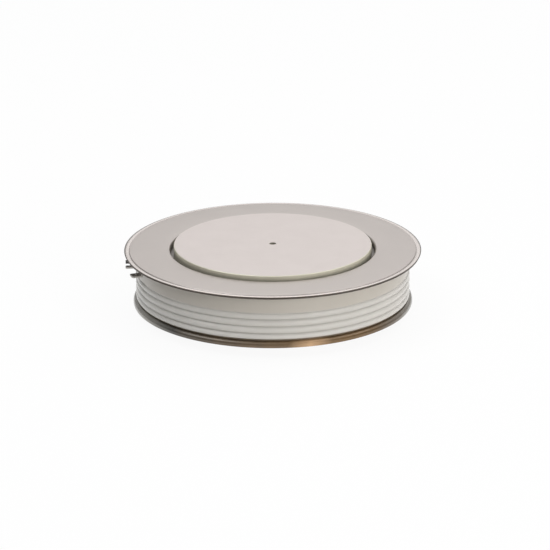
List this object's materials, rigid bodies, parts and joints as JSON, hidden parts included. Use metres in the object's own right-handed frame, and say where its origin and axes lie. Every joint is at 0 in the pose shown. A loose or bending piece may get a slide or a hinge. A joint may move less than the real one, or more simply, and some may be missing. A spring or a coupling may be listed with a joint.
{
  "type": "disc thyristor",
  "caption": "Press-pack power thyristor: a flat round ceramic capsule with ribs, a metal contact face on each side, a welded rim and plug-on tabs for the gate.",
  "frame": {"origin": "middle of the lower (anode) contact face, at the mouth of its centring hole", "axes": "+Z along the axis of the disc, from the anode face to the cathode face; -X toward the gate tube"},
  "size_m": [0.15, 0.15, 0.035],
  "materials": {
    "nickel_pole": "copper, lapped and nickel-plated matte",
    "nickel_sheet": "nickel-plated copper sheet, satin",
    "ring_metal": "iron-nickel sheet, browned by the rim weld",
    "ceramic": "glazed alumina, warm white",
    "copper_sheet": "drawn copper sheet, plated and darkened by brazing",
    "tube_metal": "iron-nickel tube, dull",
    "tab_metal": "tinned sheet",
    "molybdenum": "lapped molybdenum",
    "silicon": "metallised silicon",
    "silicone": "cast silicone rubber",
    "white_plastic": "turned white plastic",
    "pin_brass": "turned, plated",
    "spring_steel": "spring steel",
    "silver_wire": "silver wire"
  },
  "bodies": {
    "root": {"cathode_pole": "nickel_pole", "cathode_cover": "nickel_sheet", "weld_ring": "ring_metal", "ceramic_ring": "ceramic", "anode_flange": "copper_sheet", "anode_pole": "nickel_pole", "gate_tube": "tube_metal", "gate_tab": "tab_metal", "auxiliary_cathode_tab": "tab_metal", "anode_molybdenum_disc": "molybdenum", "silicon_wafer": "silicon", "wafer_edge_ring": "silicone", "cathode_molybdenum_disc": "molybdenum", "wafer_locating_ring": "white_plastic", "pole_centring_ring": "white_plastic", "gate_pin": "pin_brass", "gate_spring": "spring_steel", "gate_spring_washer": "spring_steel", "gate_bush": "white_plastic", "gate_lead": "silver_wire", "gate_lead_sleeve": "white_plastic"}
  },
  "joints": []
}
